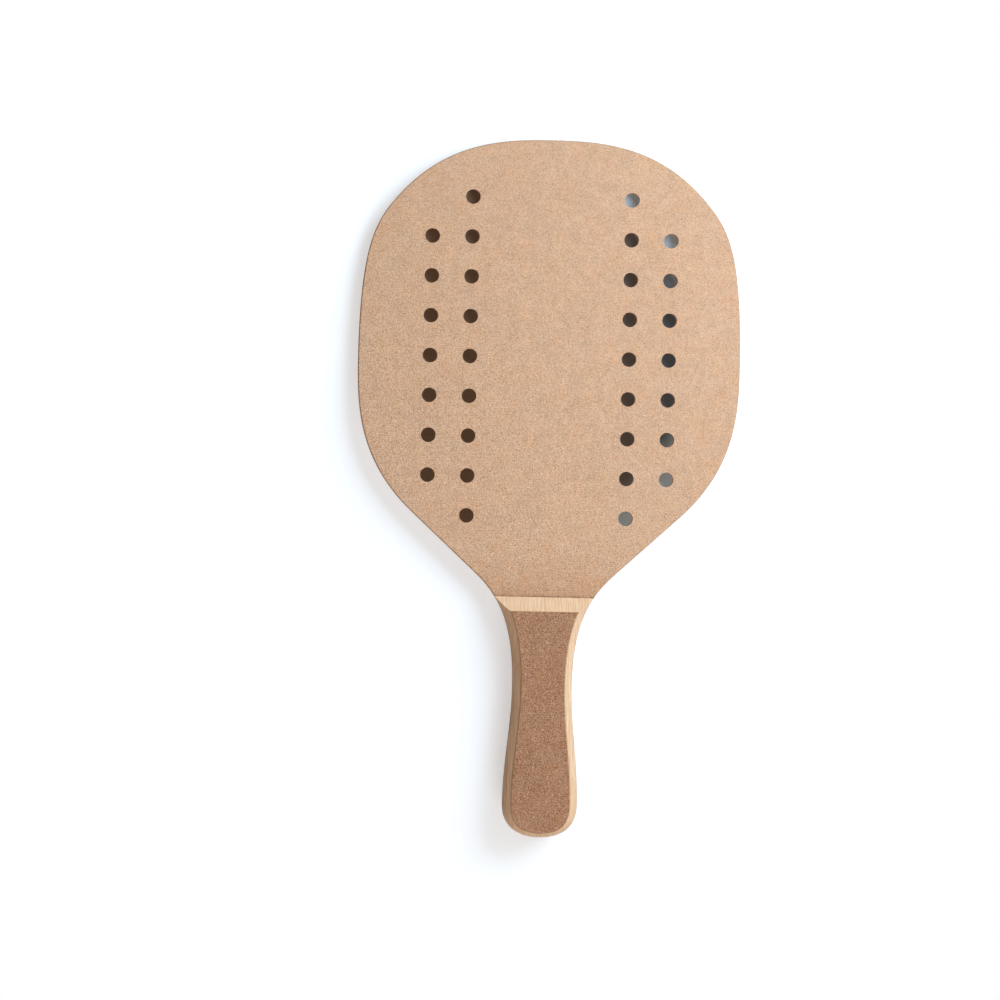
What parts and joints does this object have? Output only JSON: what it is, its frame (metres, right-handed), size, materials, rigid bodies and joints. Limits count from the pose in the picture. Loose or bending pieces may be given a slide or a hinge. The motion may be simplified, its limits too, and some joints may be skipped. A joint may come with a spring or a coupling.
{
  "type": "beach racket",
  "caption": "Wooden frescobol racket: drilled fibreboard blade with a through tang, solid wood handle scales and glued grip pads on both faces.",
  "frame": {"origin": "middle of the racket's box, halfway through the board", "axes": "+Y from the butt of the handle to the tip of the blade, +X across the blade, +Z out of the front face"},
  "size_m": [0.192, 0.35, 0.022],
  "materials": {
    "fibreboard": "raw sanded medium density fibreboard, matt",
    "pale_wood": "fine sanded solid wood, bare, matt",
    "grip_board": "fine grained brown board, open surface, matt",
    "glue": "dried wood glue, satin"
  },
  "bodies": {
    "root": {"blade": "fibreboard", "front_scale_glue": "glue", "front_handle_scale": "pale_wood", "front_pad_glue": "glue", "front_grip_pad": "grip_board", "back_scale_glue": "glue", "back_handle_scale": "pale_wood", "back_pad_glue": "glue", "back_grip_pad": "grip_board"}
  },
  "joints": []
}
